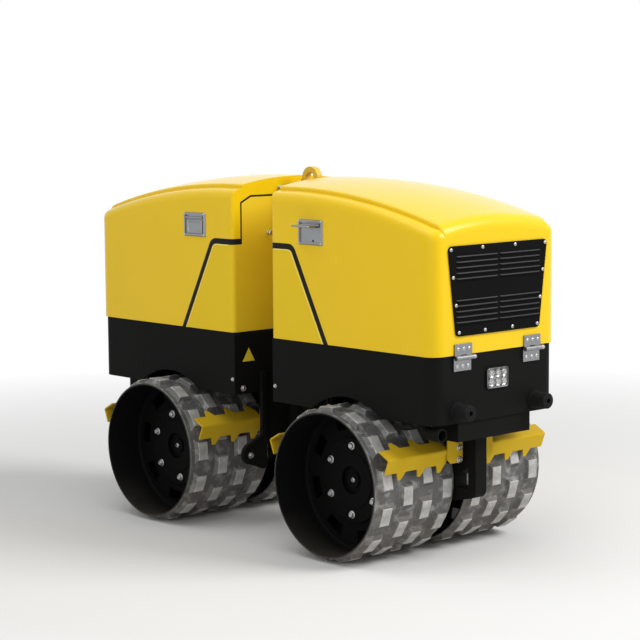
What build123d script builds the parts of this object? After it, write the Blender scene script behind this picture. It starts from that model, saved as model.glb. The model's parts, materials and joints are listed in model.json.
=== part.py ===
from build123d import *
from math import cos, degrees, radians, sin, sqrt, tan
import os

# Articulated trench roller: two drum units joined by a steering pin and an oscillation shaft.
# Frame: +X along the machine to its front end, +Y to its left, +Z up, origin on the ground
# under the middle. Millimetres. The rear half is the front half's mirror image.

# Drums
track_width = 850  # over both drums' outer rims
drum_gap = 68  # between the two drums of one half
drum_reach = 222  # from the middle of the machine to the nearest pads
shell_radius = 262
shell_wall = 9
rim_chamfer = 2
pad_height = 16
pads_per_ring = 13
pad_length = 64  # of its face, along the rim
pad_width = 42  # of its face, across the rim
pad_taper = 35  # degrees
pad_root = 6  # depth of the foot in the shell
pad_rings = 4
pad_inner_margin = 46  # from the inner rim to the first ring's middle
pad_outer_margin = 52

# Drive disc
disc_depth = 163  # from the outer rim to the disc's inner face
disc_plate = 12
disc_boss_radius = 152
disc_boss_height = 11  # proud of the plate
disc_windows = 8
disc_window_length = 78  # along its middle arc
disc_window_width = 45
disc_window_margin = 24  # to the shell
disc_window_corner = 11
disc_lip = 8  # weld seam round the plate
cover_radius = 102
cover_height = 3
recess_radius = 51
recess_floor = 8  # above the plate's inner face
hub_radius = 27
hub_height = 9
inner_boss_radius = 48
inner_boss_depth = 14
bore_end = 3  # of the disc's bore, above the plate's inner face
spindle_end_gap = 1
spindle_radius = 30
running_gap = 0.05

# Drum carrier
carrier_side_gap = 6  # to each drum
drive_housing_radius = 118
drive_housing_gap = 20  # to the disc
carrier_drop = 138  # its lowest point, below the axle
carrier_shoulder = 195  # where its lower edge turns up, from the axle
carrier_shoulder_drop = 86
carrier_foot_rise = 12  # lower corner at the articulation, above the axle
flange_plate = 10
flange_half_width = 100
flange_height = 120
loop_reach = 59  # tie-down loop's end, beyond the scrapers' apex
loop_bar = 36
loop_drop = 50  # loop's lower edge, below the axle
loop_corner = 30
loop_length = 64  # of the opening
loop_low = 22  # opening's lower edge, below the axle
loop_high = 14  # opening's upper edge at its inner end, above the axle
loop_rise = 42  # more at its outer end

# Base tub
inner_x = 108  # inner faces of a half
hood_reach = 438  # from the axle to the hood's end
hood_half_width = 317
base_inset = 5
tub_depth = 170
skirt_depth = 67  # below the floor
base_wall = 8
end_corner = 52
inner_corner = 18
arch_gap = 25  # to the pads
floor_gap = 9  # over the arches
nose_half_width = 185
nose_depth = 135  # below the floor
nose_length = 125

# Hood
hood_wall = 5
cut_over = 10  # of a cut past a side
foot_depth = 870  # of the corner form below the roof's horizon
hood_height = 576
crown_radius = 1400
roof_radius = 2620  # the roof falls in this arc from crest_x
crest_x = 170
roof_edge_radius = 38
field_half = 268  # of the roof's raised middle
field_rise = 4  # over the roof's line
field_edge = 10
shoulder_drop = 9  # beside the raised middle
seat_gap = 0.3

# Cowl and seal: the side panel's slanted edge runs from its foot to its corner
seal_foot_x = 411
seal_corner_x = 230
seal_height = 350
seal_corner_radius = 40
seal_width = 20
panel_half_width = 275
panel_height = 511
panel_corner_width = 50
panel_corner_height = 24
panel_corner_round = 24
panel_seal = 5.5
seam_gap = 1.5

# Grille: heights from the base's top
grille_plate = 6
grille_height = 310
grille_rise = 65
grille_top_half = 252
grille_bottom_half = 212
grille_corner = 16
slot_length = 176
slot_width = 9
slot_pitch = 19
slot_column_y = 103
slots_per_group = 5
slot_group_rise = (295, 145)
vent_margin = 30  # hood's opening behind the grille, inside the grille's height

# Hood hinges
hinge_y = 177
hinge_width = 85
hinge_plate = 6
hinge_pin_drop = 9  # below the base's top
hinge_knuckle_radius = 8
hinge_pin_radius = 4
hinge_leaf_height = 46
hinge_knuckle_gap = 0.5
hinge_leaf_rise = 2  # above the knuckle
hinge_strap = 10  # of a knuckle up its leaf

# Latches
latch_x = 326
latch_rise = 398
latch_length = 128
latch_height = 92
latch_plate = 6
latch_corner = 5
latch_bevel = 35  # degrees
latch_rim = 10
latch_recess = 4.5

# Lamp and buffers
lamp_drop = 96  # below the base's top
lamp_width = 110
lamp_height = 75
lamp_depth = 34
lamp_corner = 12
lamp_bezel = 7
lamp_recess = 4
buffer_y = 200
buffer_drop = 195
buffer_radius = 28
buffer_length = 67
buffer_bore = 9
buffer_round = 5
buffer_flange_radius = 34
buffer_flange = 5

# Scrapers: a bent bar whose apex points away from the drum, with teeth between the pad rings
scraper_sheet = 5
scraper_bend = 9
scraper_end_margin = 21  # to the drum's outer rim
scraper_start_y = 104
scraper_gap = 49  # from the pads to the bend's inner side
scraper_apex_angle = 22.1  # degrees above the axle
scraper_leg = 52
scraper_upper_turn = 151.2  # directions of the two legs, degrees
scraper_lower_turn = 248.7
tooth_length = 32
tooth_root = 42
tooth_tip = 14
foot_plate_y = 40
foot_plate_overlap = 12  # with the bar
foot_plate_height = 84
foot_plate_chamfer = 16
foot_block = 14
foot_drop = 5  # of the foot plate's middle below the apex

# Articulation
articulation_rise = 137  # above the axles
steer_pin_radius = 22
steer_pin_proud = 12
fork_throat = 30  # from the link's hub to the block
fork_plate = 25
fork_gap = 126  # between the fork's plates
fork_half_width = 50
fork_nose = 40  # beyond the pin
link_gap = 1
link_radius = 45
shaft_radius = 30
shaft_end_gap = 1.5
bearing_radius = 55
bearing_start_x = 72

# Steering cylinder
cylinder_y = 130
cylinder_rise = 50  # above the articulation's middle
cylinder_clearance = 5
barrel_pin_x = -190
rod_pin_x = 150
barrel_radius = 22
barrel_length = 200
barrel_bore_start = 40  # from its pin
rod_radius = 10
rod_inside = 120  # from the barrel's pin to the rod's inner end
eye_radius = 20
eye_height = 24
eye_cut = 66  # across the barrel
eye_neck = 28
cylinder_pin_radius = 8
arm_plate = 20
arm_width = 40
arm_x = 30

# Locking plate: a flat bar that hangs from the rear half's inner face
lock_y = -190
lock_width = 22
lock_thickness = 16
lock_seat = 80  # its height on the base
lock_drop = 50  # its foot below the axle
lock_boss_y = -247
lock_boss_rise = 13  # above the axle
lock_boss_radius = 40
lock_shoulder = 65  # where it joins the bar, above the boss
apron_inner_y = -56
apron_plate = 6
apron_rise = 40  # its lower edge above the axle

# Lifting eye
post_x = -85
post_depth = 50
post_half_width = 30
post_drop = 56  # its top below the crown
eye_x = -10
eye_drop = 3  # its bore's middle below the crown
lifting_radius = 42
lifting_bore = 22
lifting_plate = 25

# Power unit
engine_size = (460, 400, 500)
engine_offset = 30  # beyond the axle

os.makedirs("parts", exist_ok=True)

# Places that follow from the sizes
axle_z = shell_radius + pad_height
pad_tip_radius = axle_z
axle_x = drum_reach + pad_tip_radius
drum_inner_y = drum_gap / 2
drum_outer_y = track_width / 2
shell_inner = shell_radius - shell_wall
disc_y = drum_outer_y - disc_depth
disc_face_y = disc_y + disc_plate + disc_boss_height
bore_end_y = disc_y + bore_end
recess_y = disc_y + recess_floor
carrier_half = drum_inner_y - carrier_side_gap

arch_radius = pad_tip_radius + arch_gap
floor_z = axle_z + arch_radius + floor_gap
base_bottom = floor_z - skirt_depth
base_top = floor_z + tub_depth
nose_bottom = floor_z - nose_depth
hood_end_x = axle_x + hood_reach
base_end_x = hood_end_x - base_inset
base_half_width = hood_half_width - base_inset
nose_end_x = base_end_x - base_wall
nose_inner_x = nose_end_x - nose_length
crown_z = base_top + hood_height
seal_top_z = base_top + seal_height
panel_top = base_top + panel_height

grille_bottom = base_top + grille_rise
grille_top = grille_bottom + grille_height
hinge_pin_z = base_top - hinge_pin_drop
latch_z = base_top + latch_rise
lamp_z = base_top - lamp_drop
buffer_z = base_top - buffer_drop
articulation_z = axle_z + articulation_rise
cylinder_z = articulation_z + cylinder_rise
lock_top_z = base_bottom + lock_seat
lock_low_z = axle_z - lock_drop
lock_boss_z = axle_z + lock_boss_rise
post_top = crown_z - post_drop
eye_z = crown_z - eye_drop


def save(piece, name):
    piece.part.label = name
    export_step(piece.part, f"parts/{name}.step")


def save_pair(piece, name):
    """The front half's piece, and its mirror image for the rear half."""
    save(piece, f"front_{name}")
    with BuildPart() as twin:
        mirror(piece.part, about=Plane.YZ)
    save(twin, f"rear_{name}")


def plan(end_x, half_width, inset):
    """Plan outline of a half: large corners at its end, small ones at the articulation."""
    with Locations(((end_x + inner_x) / 2, 0)):
        outline = Rectangle(end_x - inner_x - 2 * inset, 2 * (half_width - inset))
    corners = outline.vertices().group_by(Axis.X)
    fillet(corners[-1], end_corner - inset)
    fillet(corners[0], inner_corner - inset)


# Base tub
with BuildPart() as chassis:
    with BuildSketch(Plane.XY.offset(base_bottom)):
        plan(base_end_x, base_half_width, 0)
    extrude(amount=base_top - base_bottom)
    with BuildSketch(Plane.XY.offset(floor_z + base_wall)):
        plan(base_end_x, base_half_width, base_wall)
    extrude(amount=base_top, mode=Mode.SUBTRACT)
    with BuildSketch(Plane.XY.offset(base_bottom)):
        plan(base_end_x, base_half_width, base_wall)
    extrude(amount=floor_z - base_bottom, mode=Mode.SUBTRACT)
    with BuildSketch(Plane.XZ):
        with Locations((axle_x, axle_z)):
            Circle(arch_radius)
    extrude(amount=track_width, both=True, mode=Mode.SUBTRACT)
    with BuildSketch(Plane.XY.offset(nose_bottom)):
        with Locations((nose_inner_x, 0)):
            Rectangle(nose_length, 2 * nose_half_width, align=(Align.MIN, Align.CENTER))
    extrude(amount=floor_z - nose_bottom)
save_pair(chassis, "chassis")

# Drum carrier: cast web, drive housings, spindles, scraper feet and the tie-down loop
apex_radius = pad_tip_radius + scraper_gap
apex = Vector(
    axle_x + apex_radius * cos(radians(scraper_apex_angle)),
    axle_z + apex_radius * sin(radians(scraper_apex_angle)),
)
foot_x = apex.X + scraper_sheet / 2
foot_z = apex.Y - foot_drop
carrier_inner_x = 2 * axle_x - foot_x - scraper_sheet
loop_end_x = apex.X + loop_reach
window_end_x = loop_end_x - loop_bar
with BuildPart() as carrier:
    with BuildSketch(Plane.XZ):
        with BuildLine():
            Polyline(
                (carrier_inner_x, floor_z), (carrier_inner_x, axle_z + carrier_foot_rise),
                (axle_x - carrier_shoulder, axle_z - carrier_shoulder_drop),
                (axle_x, axle_z - carrier_drop),
                (axle_x + carrier_shoulder, axle_z - carrier_shoulder_drop),
                (loop_end_x, axle_z - loop_drop), (loop_end_x, nose_bottom),
                (nose_inner_x, nose_bottom), (nose_inner_x, floor_z), close=True,
            )
        side = make_face()
        fillet(side.vertices().sort_by_distance((loop_end_x, axle_z - loop_drop))[0], loop_corner)
        with BuildLine():
            Polyline(
                (window_end_x, axle_z - loop_low), (window_end_x, axle_z + loop_high + loop_rise),
                (window_end_x - loop_length, axle_z + loop_high),
                (window_end_x - loop_length, axle_z - loop_low), close=True,
            )
        make_face(mode=Mode.SUBTRACT)
    extrude(amount=carrier_half, both=True)
    with BuildSketch(Plane.XZ):
        with Locations((axle_x, axle_z)):
            Circle(drive_housing_radius)
    extrude(amount=disc_y - drive_housing_gap, both=True)
    with BuildSketch(Plane.XZ):
        with Locations((axle_x, axle_z)):
            Circle(spindle_radius)
    extrude(amount=bore_end_y - spindle_end_gap, both=True)
    for x, align in ((foot_x, Align.MAX), (2 * axle_x - foot_x, Align.MIN)):
        with Locations((x, 0, foot_z)):
            Box(
                foot_block, 2 * scraper_start_y, foot_plate_height,
                align=(align, Align.CENTER, Align.CENTER),
            )
    with Locations((carrier_inner_x, 0, floor_z)):
        Box(
            flange_plate, 2 * flange_half_width, flange_height,
            align=(Align.MIN, Align.CENTER, Align.MAX),
        )
save_pair(carrier, "carrier")

# Drum: shell with tapered pads, every second ring set half a pitch on
pad_ring_pitch = (drum_outer_y - drum_inner_y - pad_inner_margin - pad_outer_margin) / (pad_rings - 1)
pad_ring_y = [drum_inner_y + pad_inner_margin + ring * pad_ring_pitch for ring in range(pad_rings)]
pad_face_radius = sqrt(pad_tip_radius**2 - (pad_length / 2) ** 2)  # its edges reach the tips
pad_depth = pad_face_radius - shell_radius + pad_root
pad_flare = 2 * pad_depth * tan(radians(pad_taper))
with BuildPart() as pad:
    with BuildSketch(Plane.YZ.offset(shell_radius - pad_root)):
        Rectangle(pad_width + pad_flare, pad_length + pad_flare)
    extrude(amount=pad_depth, taper=pad_taper)
pad_pitch = 360 / pads_per_ring
pad_places = [
    Location((0, y, 0), (0, (n + (ring + 1) % 2 / 2) * pad_pitch, 0))
    for ring, y in enumerate(pad_ring_y)
    for n in range(pads_per_ring)
]
with BuildPart() as drum:
    with BuildSketch(Plane.XY):
        with Locations((shell_inner, drum_inner_y)):
            rim = Rectangle(
                shell_wall, drum_outer_y - drum_inner_y, align=(Align.MIN, Align.MIN)
            )
        chamfer(rim.vertices().group_by(Axis.X)[-1], rim_chamfer)
    revolve(axis=Axis.Y)
    with Locations(*pad_places):
        add(pad.part)

# Drive disc: plate with windows, raised bolt ring, and a cover round its recessed hub
window_outer_radius = shell_inner - disc_window_margin
window_inner_radius = window_outer_radius - disc_window_width
window_radius = (window_outer_radius + window_inner_radius) / 2
window_angle = degrees(disc_window_length / window_radius)
window_pitch = 360 / disc_windows
with BuildPart() as disc:
    with BuildSketch(Plane.XY):
        with BuildLine():
            Polyline(
                (spindle_radius + running_gap, disc_y - inner_boss_depth),
                (inner_boss_radius, disc_y - inner_boss_depth), (inner_boss_radius, disc_y),
                (shell_inner, disc_y),
                (shell_inner, disc_y + disc_plate + disc_lip),
                (shell_inner - disc_lip, disc_y + disc_plate),
                (disc_boss_radius, disc_y + disc_plate),
                (disc_boss_radius, disc_face_y), (cover_radius, disc_face_y),
                (cover_radius, disc_face_y + cover_height),
                (recess_radius, disc_face_y + cover_height), (recess_radius, recess_y),
                (hub_radius, recess_y), (hub_radius, recess_y + hub_height),
                (0, recess_y + hub_height), (0, bore_end_y),
                (spindle_radius + running_gap, bore_end_y), close=True,
            )
        make_face()
    revolve(axis=Axis.Y)
    with BuildSketch(Plane.XZ.offset(-disc_y - disc_plate / 2)):
        with BuildLine():
            outer = CenterArc((0, 0), window_outer_radius, -window_angle / 2, window_angle)
            inner = CenterArc((0, 0), window_inner_radius, -window_angle / 2, window_angle)
            Line(outer @ 0, inner @ 0)
            Line(outer @ 1, inner @ 1)
        window = make_face()
        fillet(window.vertices(), disc_window_corner)
        with PolarLocations(0, disc_windows - 1, start_angle=window_pitch, angular_range=360 - window_pitch):
            add(window)
    extrude(amount=disc_plate, both=True, mode=Mode.SUBTRACT)

# Where each drum runs: name, end of the machine, side, turn of its pads and disc in degrees
drum_table = (
    ("front_left", 1, 1, -2, 0),
    ("front_right", 1, -1, 10, 15),
    ("rear_left", -1, 1, 12, 5),
    ("rear_right", -1, -1, 5, 37),
)
for name, end, side, pad_turn, disc_turn in drum_table:
    for form, kind, turn in ((drum, "drum", pad_turn), (disc, "disc", disc_turn)):
        with BuildPart() as placed:
            with Locations(Location((end * axle_x, 0, axle_z), (0, -turn, 0))):
                add(form.part if side > 0 else mirror(form.part, about=Plane.XZ, mode=Mode.PRIVATE))
        save(placed, f"{name}_{kind}")

# Scrapers: one bar outside and one inside each drum, left and right
tooth_y = [(a + b) / 2 for a, b in zip(pad_ring_y, pad_ring_y[1:])]
upper_leg = Vector(cos(radians(scraper_upper_turn)), sin(radians(scraper_upper_turn)))
lower_leg = Vector(cos(radians(scraper_lower_turn)), sin(radians(scraper_lower_turn)))
upper_face = Vector(upper_leg.Y, -upper_leg.X)  # away from the drum
lower_face = Vector(-lower_leg.Y, lower_leg.X)
scraper_end_y = drum_outer_y - scraper_end_margin
bend = (upper_face + lower_face) * (scraper_sheet / (1 + upper_face.dot(lower_face)))
with BuildPart() as scrapers:
    with BuildSketch(Plane.XZ.offset(-scraper_start_y)):
        with BuildLine():
            Polyline(
                apex, apex + upper_leg * scraper_leg,
                apex + upper_leg * scraper_leg + upper_face * scraper_sheet, apex + bend,
                apex + lower_leg * scraper_leg + lower_face * scraper_sheet,
                apex + lower_leg * scraper_leg, close=True,
            )
        section = make_face()
        fillet(section.vertices().sort_by(Axis.X)[-1], scraper_bend)
    extrude(amount=scraper_start_y - scraper_end_y)
    for leg, face in ((upper_leg, upper_face), (lower_leg, lower_face)):
        leg_plane = Plane(
            origin=(apex.X, 0, apex.Y), x_dir=(leg.X, 0, leg.Y), z_dir=(face.X, 0, face.Y)
        )
        side = 1 if leg_plane.y_dir.Y > 0 else -1
        with BuildSketch(leg_plane):
            for y in tooth_y:
                with BuildLine():
                    Polyline(
                        (scraper_leg, side * (y - tooth_root / 2)),
                        (scraper_leg + tooth_length, side * (y - tooth_tip / 2)),
                        (scraper_leg + tooth_length, side * (y + tooth_tip / 2)),
                        (scraper_leg, side * (y + tooth_root / 2)), close=True,
                    )
                make_face()
        extrude(amount=scraper_sheet)
    with BuildSketch(Plane.YZ.offset(foot_x)):
        with Locations((foot_plate_y, foot_z)):
            foot = Rectangle(
                scraper_start_y + foot_plate_overlap - foot_plate_y, foot_plate_height,
                align=(Align.MIN, Align.CENTER),
            )
        chamfer(foot.vertices().group_by(Axis.Y)[0], foot_plate_chamfer)
    extrude(amount=scraper_sheet)
    mirror(about=Plane.XZ)
    mirror(about=Plane.YZ.offset(axle_x))
save_pair(scrapers, "scrapers")


def crowned(bottom, outline, rise):
    """The plan outline raised from bottom to a crowned roof that falls to the end."""
    wide = hood_half_width + roof_edge_radius
    axis_z = crown_z - roof_radius
    edge_reach = roof_radius - crown_radius + sqrt((crown_radius + rise) ** 2 - wide**2)
    foot_reach = roof_radius - foot_depth
    roof_plane = Plane(origin=(crest_x, 0, axis_z), x_dir=(0, 1, 0), z_dir=(0, 0, 1))
    with BuildPart() as form:
        with BuildSketch(Plane.XY.offset(bottom)):
            add(outline)
        extrude(amount=crown_z)
        with BuildSketch(roof_plane):
            with BuildLine() as section:
                ThreePointArc((-wide, edge_reach), (0, roof_radius + rise), (wide, edge_reach))
                Polyline(
                    (wide, edge_reach), (wide, foot_reach), (-wide, foot_reach), (-wide, edge_reach)
                )
            make_face(section.edges())
        revolve(
            axis=Axis((crest_x, 0, axis_z), (0, 1, 0)), revolution_arc=180, mode=Mode.INTERSECT
        )
    return form.part


def upper_form(bottom, inset):
    """Form of a half above its base: soft edges, and a roof with a raised middle."""
    half = hood_half_width - inset
    with BuildSketch(mode=Mode.PRIVATE) as wide_plan:
        outline = Rectangle(hood_end_x - inset, 2 * half, align=(Align.MIN, Align.CENTER))
        fillet(outline.vertices().group_by(Axis.X)[-1], end_corner - inset)
    with BuildSketch(mode=Mode.PRIVATE) as field_plan:
        Rectangle(hood_end_x - inset, 2 * (field_half - inset), align=(Align.MIN, Align.CENTER))
    shoulders = crowned(bottom, wide_plan.sketch, -shoulder_drop - inset)
    roof = shoulders.faces().sort_by(Axis.Z)[-1]
    shoulders = shoulders.fillet(roof_edge_radius - inset, roof.edges().sort_by(Axis.X)[1:])
    field = crowned(bottom, field_plan.sketch, field_rise - inset)
    end_edge = field.faces().sort_by(Axis.X)[-1].edges().sort_by(Axis.Z)[-1]
    field = field.fillet(roof_edge_radius + shoulder_drop + field_rise - inset, [end_edge])
    sides = field.faces().sort_by(Axis.Y)
    rails = [
        edge for side in (sides[0], sides[-1]) for edge in side.edges().filter_by(Plane.XZ)
        if edge.geom_type != GeomType.LINE
    ]
    field = field.fillet(field_edge - inset, rails)
    with BuildPart() as form:
        add(shoulders)
        add(field)
        with BuildSketch(Plane.XY.offset(bottom)):
            with Locations((inner_x + inset, 0)):
                outline = Rectangle(hood_end_x, 2 * half, align=(Align.MIN, Align.CENTER))
            fillet(outline.vertices().group_by(Axis.X)[0], inner_corner - inset)
        extrude(amount=crown_z, mode=Mode.INTERSECT)
    return form.part


def cowl_side(inset):
    """Side outline of the cowl with its seal, drawn in by inset, and open below and inward."""
    slope = (seal_foot_x - seal_corner_x) / (seal_top_z - base_top)
    low = base_top - 2 * seal_width
    with BuildLine() as edge:
        Polyline(
            (0, low), (seal_foot_x + slope * 2 * seal_width, low),
            (seal_corner_x, seal_top_z), (0, seal_top_z), close=True,
        )
    outline = make_face(edge.edges())
    corner = outline.vertices().sort_by(Axis.Y)[-2:].sort_by(Axis.X)[-1]
    fillet(corner, seal_corner_radius)
    if inset:
        offset(amount=-inset)


def bulkhead(grow):
    """Inner face panel of the cowl above its side panels."""
    half = panel_half_width + grow
    top = panel_top + grow
    shoulder_z = top - panel_corner_height
    shoulder_y = half - panel_corner_width
    with BuildLine() as edge:
        Polyline(
            (-half, base_top), (-half, shoulder_z), (-shoulder_y, top), (shoulder_y, top),
            (half, shoulder_z), (half, base_top), close=True,
        )
    outline = make_face(edge.edges())
    shoulders = outline.vertices().filter_by_position(Axis.Z, shoulder_z, top)
    fillet(shoulders, panel_corner_round)


wall_reach = hood_half_width + cut_over
seal_low_z = seal_top_z - seal_width

# Seal strips between cowl and hood, and round the cowl's panel
with BuildPart() as seals:
    add(upper_form(base_top, 0))
    add(upper_form(base_top - seal_width, hood_wall), mode=Mode.SUBTRACT)
    with BuildSketch(Plane.XZ):
        cowl_side(0)
    extrude(amount=wall_reach, both=True, mode=Mode.INTERSECT)
    with BuildSketch(Plane.XZ):
        cowl_side(seal_width)
    extrude(amount=wall_reach, both=True, mode=Mode.SUBTRACT)
    with BuildSketch(Plane.YZ):
        bulkhead(0)
    extrude(amount=hood_end_x, mode=Mode.SUBTRACT)
    with BuildSketch(Plane.YZ.offset(inner_x)):
        bulkhead(0)
        offset(amount=-panel_seal, mode=Mode.SUBTRACT)
        with Locations((0, seal_low_z)):
            Rectangle(
                2 * wall_reach, hood_height, align=(Align.CENTER, Align.MAX), mode=Mode.SUBTRACT
            )
    extrude(amount=hood_wall)
save_pair(seals, "seals")

# Fixed cowl
with BuildPart() as cowl:
    add(upper_form(base_top, 0))
    add(upper_form(base_top - seal_width, hood_wall), mode=Mode.SUBTRACT)
    with BuildSketch(Plane.XZ):
        cowl_side(seal_width)
    extrude(amount=wall_reach, both=True, mode=Mode.INTERSECT)
    with BuildSketch(Plane.YZ.offset(inner_x)):
        bulkhead(0)
    extrude(amount=hood_wall)
    add(seals.part, mode=Mode.SUBTRACT)
save_pair(cowl, "cowl")

# Hood: a hollow shell with a lip round the cowl's panel
with BuildPart() as hood:
    add(upper_form(base_top + seat_gap, 0))
    add(upper_form(base_top - seal_width, hood_wall), mode=Mode.SUBTRACT)
    with BuildSketch(Plane.XZ):
        cowl_side(-seam_gap)
    extrude(amount=wall_reach, both=True, mode=Mode.SUBTRACT)
    with BuildSketch(Plane.YZ):
        bulkhead(seam_gap)
    extrude(amount=inner_x + 2 * hood_wall, mode=Mode.SUBTRACT)
    with BuildSketch(Plane.YZ.offset(hood_end_x - 2 * hood_wall)):
        with Locations((0, (grille_top + grille_bottom) / 2)):
            Rectangle(2 * slot_column_y + slot_length, grille_height - 2 * vent_margin)
    extrude(amount=4 * hood_wall, mode=Mode.SUBTRACT)
save_pair(hood, "hood")

# Grille
with BuildPart() as grille:
    with BuildSketch(Plane.YZ.offset(hood_end_x)):
        with BuildLine():
            Polyline(
                (-grille_top_half, grille_top), (grille_top_half, grille_top),
                (grille_bottom_half, grille_bottom), (-grille_bottom_half, grille_bottom),
                close=True,
            )
        make_face()
        fillet(vertices(), grille_corner)
        for rise in slot_group_rise:
            with Locations((0, base_top + rise)):
                with GridLocations(2 * slot_column_y, slot_pitch, 2, slots_per_group):
                    Rectangle(slot_length, slot_width, mode=Mode.SUBTRACT)
    extrude(amount=grille_plate)
save_pair(grille, "grille")

# Hood hinges: the base leaf holds the pin in its middle knuckle
pin_x = hood_end_x + hinge_knuckle_radius + 3 * hinge_knuckle_gap
knuckle_third = hinge_width / 3
with BuildPart() as base_leaves:
    for y in (-hinge_y, hinge_y):
        with BuildSketch(Plane.XZ.offset(-y)):
            with Locations((pin_x, hinge_pin_z)):
                Circle(hinge_knuckle_radius)
        extrude(amount=knuckle_third / 2 - hinge_knuckle_gap, both=True)
        with BuildSketch(Plane.XZ.offset(-y)):
            with Locations((pin_x, hinge_pin_z)):
                Circle(hinge_pin_radius)
        extrude(amount=hinge_width / 2, both=True)
        with Locations((base_end_x, y, hinge_pin_z)):
            Box(
                hinge_plate, hinge_width, hinge_leaf_height,
                align=(Align.MIN, Align.CENTER, Align.MAX),
            )
        with Locations((base_end_x, y, hinge_pin_z)):
            Box(
                pin_x - base_end_x, knuckle_third - 2 * hinge_knuckle_gap, hinge_knuckle_radius,
                align=(Align.MIN, Align.CENTER, Align.MAX),
            )
save_pair(base_leaves, "base_leaves")

with BuildPart() as hood_leaves:
    for y in (-hinge_y, hinge_y):
        with Locations((hood_end_x, y, hinge_pin_z + hinge_knuckle_radius + hinge_leaf_rise)):
            Box(
                hinge_plate, hinge_width, hinge_leaf_height - hinge_knuckle_radius,
                align=(Align.MIN, Align.CENTER, Align.MIN),
            )
        for knuckle_y in (y - knuckle_third, y + knuckle_third):
            with BuildSketch(Plane.XZ.offset(-knuckle_y)):
                with Locations((pin_x, hinge_pin_z)):
                    Circle(hinge_knuckle_radius)
                with Locations((hood_end_x + hinge_plate / 2, hinge_pin_z)):
                    Rectangle(
                        hinge_plate, hinge_knuckle_radius + hinge_strap,
                        align=(Align.CENTER, Align.MIN),
                    )
                with Locations((pin_x, hinge_pin_z)):
                    Circle(hinge_pin_radius + running_gap, mode=Mode.SUBTRACT)
            extrude(amount=knuckle_third / 2 - hinge_knuckle_gap, both=True)
save_pair(hood_leaves, "hood_leaves")

# Latch trays on the hood's sides
with BuildPart() as latches:
    with BuildSketch(Plane.XZ.offset(-hood_half_width)):
        with Locations((latch_x, latch_z)):
            RectangleRounded(latch_length, latch_height, latch_corner)
    extrude(amount=-latch_plate, taper=latch_bevel)
    with BuildSketch(Plane.XZ.offset(-hood_half_width - latch_plate)):
        with Locations((latch_x, latch_z)):
            Rectangle(latch_length - 2 * latch_rim, latch_height - 2 * latch_rim)
    extrude(amount=latch_recess, mode=Mode.SUBTRACT)
    mirror(about=Plane.XZ)
save_pair(latches, "latches")

# Work lamp
with BuildPart() as lamp:
    with BuildSketch(Plane.YZ.offset(base_end_x)):
        with Locations((0, lamp_z)):
            RectangleRounded(lamp_width, lamp_height, lamp_corner)
    extrude(amount=lamp_depth)
    with BuildSketch(Plane.YZ.offset(base_end_x + lamp_depth)):
        with Locations((0, lamp_z)):
            RectangleRounded(
                lamp_width - 2 * lamp_bezel, lamp_height - 2 * lamp_bezel,
                lamp_corner - lamp_bezel / 2,
            )
    extrude(amount=-lamp_recess, mode=Mode.SUBTRACT)
save_pair(lamp, "lamp")

# Rubber buffers
with BuildPart() as buffers:
    with BuildSketch(Plane.XY):
        with BuildLine():
            Polyline(
                (buffer_bore, 0), (buffer_flange_radius, 0), (buffer_flange_radius, buffer_flange),
                (buffer_radius, buffer_flange), (buffer_radius, buffer_length),
                (buffer_bore, buffer_length), close=True,
            )
        half_section = make_face()
        rim_corner = half_section.vertices().sort_by_distance((buffer_radius, buffer_length))[0]
        fillet(rim_corner, buffer_round)
    revolve(axis=Axis.Y)
    turned = buffers.part
buffer_places = [
    Location((base_end_x, y, buffer_z), (0, 0, -90)) for y in (-buffer_y, buffer_y)
]
with BuildPart() as buffer_set:
    with Locations(*buffer_places):
        add(turned)
save_pair(buffer_set, "buffers")

# Rear fork with the steering pin
fork_top = articulation_z + fork_gap / 2
with BuildPart() as rear_fork:
    for z in (articulation_z - fork_gap / 2 - fork_plate, fork_top):
        with BuildSketch(Plane.XY.offset(z)):
            with Locations((fork_nose, 0)):
                tongue = Rectangle(
                    carrier_inner_x + fork_nose, 2 * fork_half_width,
                    align=(Align.MAX, Align.CENTER),
                )
            fillet(tongue.vertices().group_by(Axis.X)[-1], fork_nose)
        extrude(amount=fork_plate)
    with Locations((-carrier_inner_x, 0, articulation_z)):
        Box(
            carrier_inner_x - link_radius - fork_throat, 2 * carrier_half, fork_gap,
            align=(Align.MIN, Align.CENTER, Align.CENTER),
        )
    with BuildSketch(Plane.XY.offset(articulation_z - fork_gap / 2 - fork_plate)):
        Circle(steer_pin_radius)
    extrude(amount=fork_gap + 2 * fork_plate + steer_pin_proud)
save(rear_fork, "rear_fork")

# Link: hub on the steering pin, oscillation shaft and steering arm under the cylinder
arm_top = cylinder_z - barrel_radius - cylinder_clearance
with BuildPart() as link:
    with Locations((0, 0, articulation_z)):
        Cylinder(link_radius, fork_gap - 2 * link_gap)
    with BuildSketch(Plane.YZ):
        with Locations((0, articulation_z)):
            Circle(shaft_radius)
    extrude(amount=carrier_inner_x - shaft_end_gap)
    with BuildSketch(Plane.XY.offset(arm_top - arm_plate)):
        with Locations((arm_x, 0)):
            Rectangle(arm_width, cylinder_y + arm_width / 2, align=(Align.CENTER, Align.MIN))
        with Locations((arm_x, cylinder_y)):
            Rectangle(rod_pin_x - arm_x, arm_width, align=(Align.MIN, Align.CENTER))
        with Locations((rod_pin_x, cylinder_y)):
            Circle(eye_radius)
    extrude(amount=arm_plate)
    with BuildSketch(Plane.XY.offset(arm_top)):
        with Locations((rod_pin_x, cylinder_y)):
            Circle(eye_radius)
    extrude(amount=cylinder_z - eye_height / 2 - link_gap - arm_top)
    with Locations((0, 0, articulation_z)):
        Cylinder(steer_pin_radius + running_gap, fork_gap, mode=Mode.SUBTRACT)
save(link, "link")

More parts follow.
